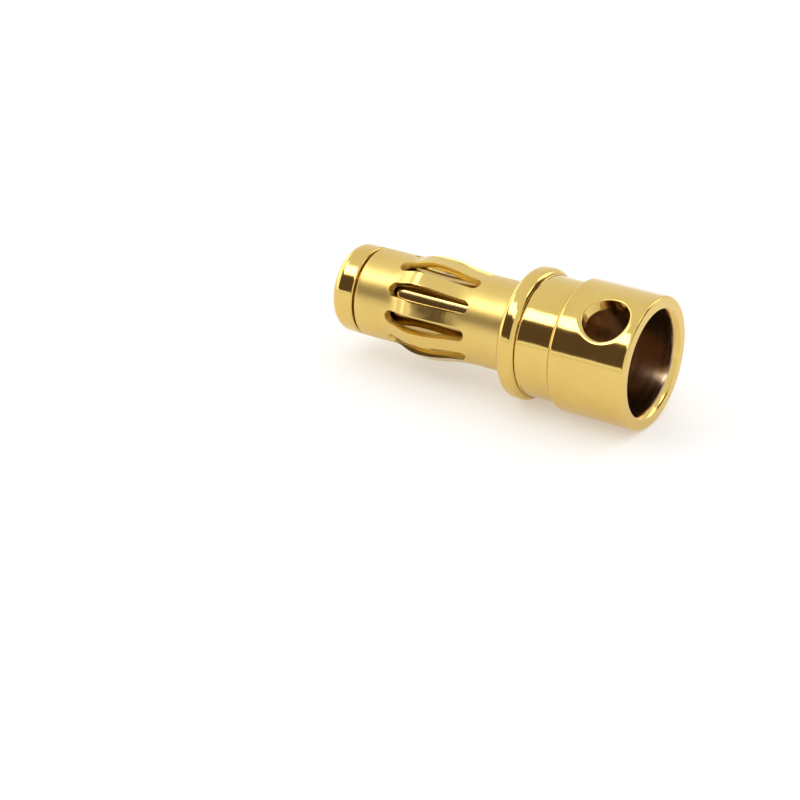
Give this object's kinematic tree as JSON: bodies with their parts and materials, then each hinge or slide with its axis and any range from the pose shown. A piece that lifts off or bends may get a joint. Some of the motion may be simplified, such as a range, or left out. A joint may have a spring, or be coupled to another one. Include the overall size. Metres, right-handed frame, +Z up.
{
  "type": "bullet connector plug",
  "caption": "Turned, gold-plated bullet plug for a battery lead: sprung contact cage on a pin, collar, and a solder cup with a side port.",
  "frame": {"origin": "on the plug's axis, in the plane of the collar's front face, where the mating socket stops", "axes": "+X along the axis, out of the solder cup's mouth; the sprung contact end points to -X; +Z up, as the plug lies on a table with the solder port on its upper -Y side"},
  "size_m": [0.0119, 0.0046, 0.0046],
  "materials": {
    "plated_brass": "polished, gold plated",
    "plated_spring_sheet": "polished, gold plated spring sheet"
  },
  "bodies": {
    "root": {"plug_body": "plated_brass", "contact_cage": "plated_spring_sheet"}
  },
  "joints": []
}
